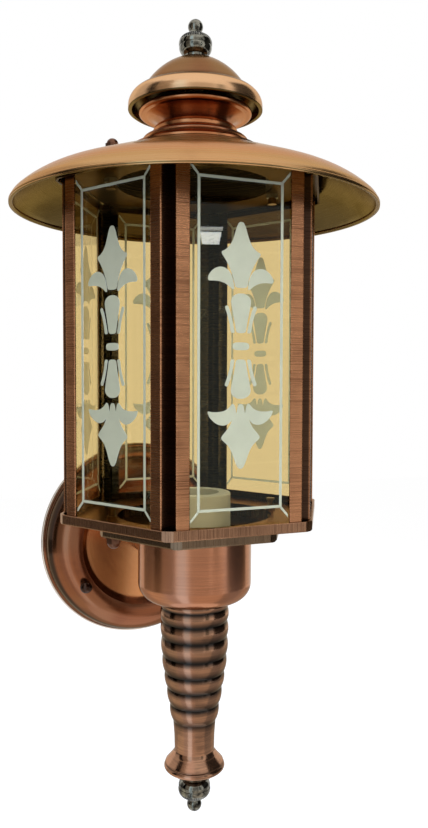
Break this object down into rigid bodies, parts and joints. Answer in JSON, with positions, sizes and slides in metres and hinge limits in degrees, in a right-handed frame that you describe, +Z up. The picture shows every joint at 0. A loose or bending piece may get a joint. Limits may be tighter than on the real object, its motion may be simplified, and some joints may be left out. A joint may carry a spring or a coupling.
{
  "type": "wall lantern",
  "caption": "Hexagonal outdoor wall lantern in antique copper: printed glass panes, wide round roof, vented crown, ribbed tail, round wall canopy on a short arm.",
  "frame": {"origin": "on the wall, at the centre of the canopy's back, where the wall bar lies on the wall", "axes": "+Y into the wall, +Z up, +X to the right for someone who faces the wall; the lantern hangs out at -Y"},
  "size_m": [0.227, 0.2495, 0.5028],
  "materials": {
    "finial_metal": "cast, grey bronze plating, satin",
    "cap_copper": "antique copper, brushed round, lacquered",
    "neck_copper": "antique copper, darker in the hollows",
    "roof_copper": "antique copper, spun and brushed round, lacquered",
    "nut_bronze": "darkened bronze",
    "screw_brass": "plain brass",
    "seal_rubber": "black moulded rubber",
    "top_tray_copper": "antique copper, darkened",
    "post_copper": "antique copper, brushed across, dark in the groove",
    "pane_glass": "clear flat glass with a pale honey tint",
    "print_enamel": "fired pale enamel print",
    "tray_copper": "antique copper, brushed upright",
    "holder_ceramic": "white glazed porcelain",
    "shell_brass": "pressed brass",
    "zinc_steel": "zinc plated steel",
    "cup_copper": "antique copper, brushed round",
    "tail_bronze": "antique bronze, lacquered, dark in the grooves",
    "arm_copper": "antique copper",
    "canopy_copper": "antique copper, brushed round",
    "ball_bronze": "dark bronze, polished"
  },
  "bodies": {
    "root": {"top_finial": "finial_metal", "crown_cap": "cap_copper", "crown_rod": "zinc_steel", "crown_spacer": "zinc_steel", "crown_nut": "zinc_steel", "neck": "neck_copper", "roof": "roof_copper", "roof_screws": "screw_brass", "roof_cap_nuts": "nut_bronze", "roof_seals": "seal_rubber", "roof_spacers": "zinc_steel", "roof_tray_nuts": "zinc_steel", "top_tray": "top_tray_copper", "post_1": "post_copper", "post_2": "post_copper", "post_3": "post_copper", "post_4": "post_copper", "post_5": "post_copper", "post_6": "post_copper", "pane_1": "pane_glass", "pane_2": "pane_glass", "pane_3": "pane_glass", "pane_4": "pane_glass", "pane_5": "pane_glass", "pane_6": "pane_glass", "pane_prints": "print_enamel", "base_tray": "tray_copper", "under_tray": "tray_copper", "base_screws": "screw_brass", "base_washers": "nut_bronze", "base_cap_nuts": "nut_bronze", "holder_body": "holder_ceramic", "holder_shell": "shell_brass", "holder_contact": "shell_brass", "holder_screws": "zinc_steel", "holder_spacer": "zinc_steel", "holder_nut": "zinc_steel", "centre_nipple": "zinc_steel", "cup": "cup_copper", "tail": "tail_bronze", "tail_rod": "zinc_steel", "bottom_finial": "finial_metal", "arm": "arm_copper", "arm_saddle": "arm_copper", "arm_nuts": "zinc_steel", "canopy": "canopy_copper", "ball_screws": "ball_bronze", "swivel_bar": "zinc_steel", "wall_bar": "zinc_steel", "bar_rivet": "zinc_steel"}
  },
  "joints": []
}
